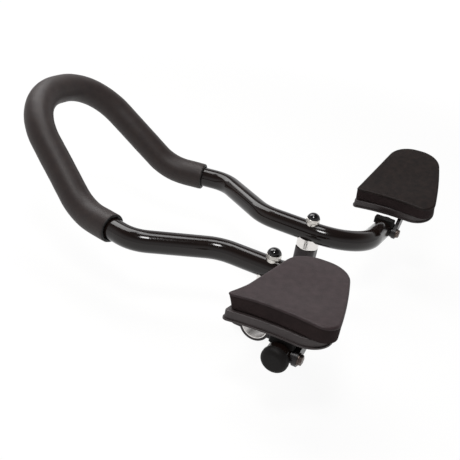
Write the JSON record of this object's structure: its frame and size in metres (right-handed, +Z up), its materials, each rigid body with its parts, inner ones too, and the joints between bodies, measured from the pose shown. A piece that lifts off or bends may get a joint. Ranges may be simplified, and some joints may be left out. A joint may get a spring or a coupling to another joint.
{
  "type": "aero handlebar extension",
  "caption": "Clip-on aero handlebar extension: bent gloss black tube with a raised foam-covered loop, clamp feet for the handlebar and tilting foam arm pads on the side stubs",
  "frame": {"origin": "on the axis of the handlebar, midway between the two clamps", "axes": "+X rider's right, +Y forward, +Z up"},
  "size_m": [0.4241, 0.419, 0.1744],
  "materials": {
    "gloss_black_tube": "gloss",
    "grip_foam": "matte",
    "black_plastic": "matte",
    "black_jaw": "satin",
    "bright_aluminium": "turned",
    "zinc_steel": "plated",
    "gloss_dome": "gloss",
    "black_bracket": "satin",
    "hook_fabric": "woven",
    "pad_foam": "matte"
  },
  "bodies": {
    "bar": {"bar_tube": "gloss_black_tube", "grip_foam": "grip_foam", "end_cap_left": "black_plastic", "upper_jaw_left": "black_jaw", "lower_jaw_left": "black_jaw", "shim_left": "bright_aluminium", "jaw_bolts_left": "zinc_steel", "leg_bolt_left": "zinc_steel", "saddle_spacer_left": "bright_aluminium", "leg_washer_left": "zinc_steel", "leg_nut_left": "zinc_steel", "dome_cap_left": "gloss_dome", "pivot_bolt_left": "black_bracket", "pivot_washer_left": "black_bracket", "pivot_insert_left": "black_bracket", "stub_rest_left": "black_plastic", "end_cap_right": "black_plastic", "upper_jaw_right": "black_jaw", "lower_jaw_right": "black_jaw", "shim_right": "bright_aluminium", "jaw_bolts_right": "zinc_steel", "leg_bolt_right": "zinc_steel", "saddle_spacer_right": "bright_aluminium", "leg_washer_right": "zinc_steel", "leg_nut_right": "zinc_steel", "dome_cap_right": "gloss_dome", "pivot_bolt_right": "black_bracket", "pivot_washer_right": "black_bracket", "pivot_insert_right": "black_bracket", "stub_rest_right": "black_plastic"},
    "left_pad": {"pad_bracket_left": "black_bracket", "pad_plate_left": "black_plastic", "plate_screws_left": "zinc_steel", "plate_nuts_left": "zinc_steel", "hook_patches_left": "hook_fabric", "pad_foam_left": "pad_foam"},
    "right_pad": {"pad_bracket_right": "black_bracket", "pad_plate_right": "black_plastic", "plate_screws_right": "zinc_steel", "plate_nuts_right": "zinc_steel", "hook_patches_right": "hook_fabric", "pad_foam_right": "pad_foam"}
  },
  "joints": [
    {"name": "pad_roll_left", "type": "hinge", "parent": "bar", "child": "left_pad", "pos_m": [-0.1515, -0.0555, 0.04622], "axis": [0, -1, 0], "range_deg": [0, 20]},
    {"name": "pad_roll_right", "type": "hinge", "parent": "bar", "child": "right_pad", "pos_m": [0.1515, -0.0555, 0.04622], "axis": [0, -1, 0], "range_deg": [-17, 3]}
  ]
}
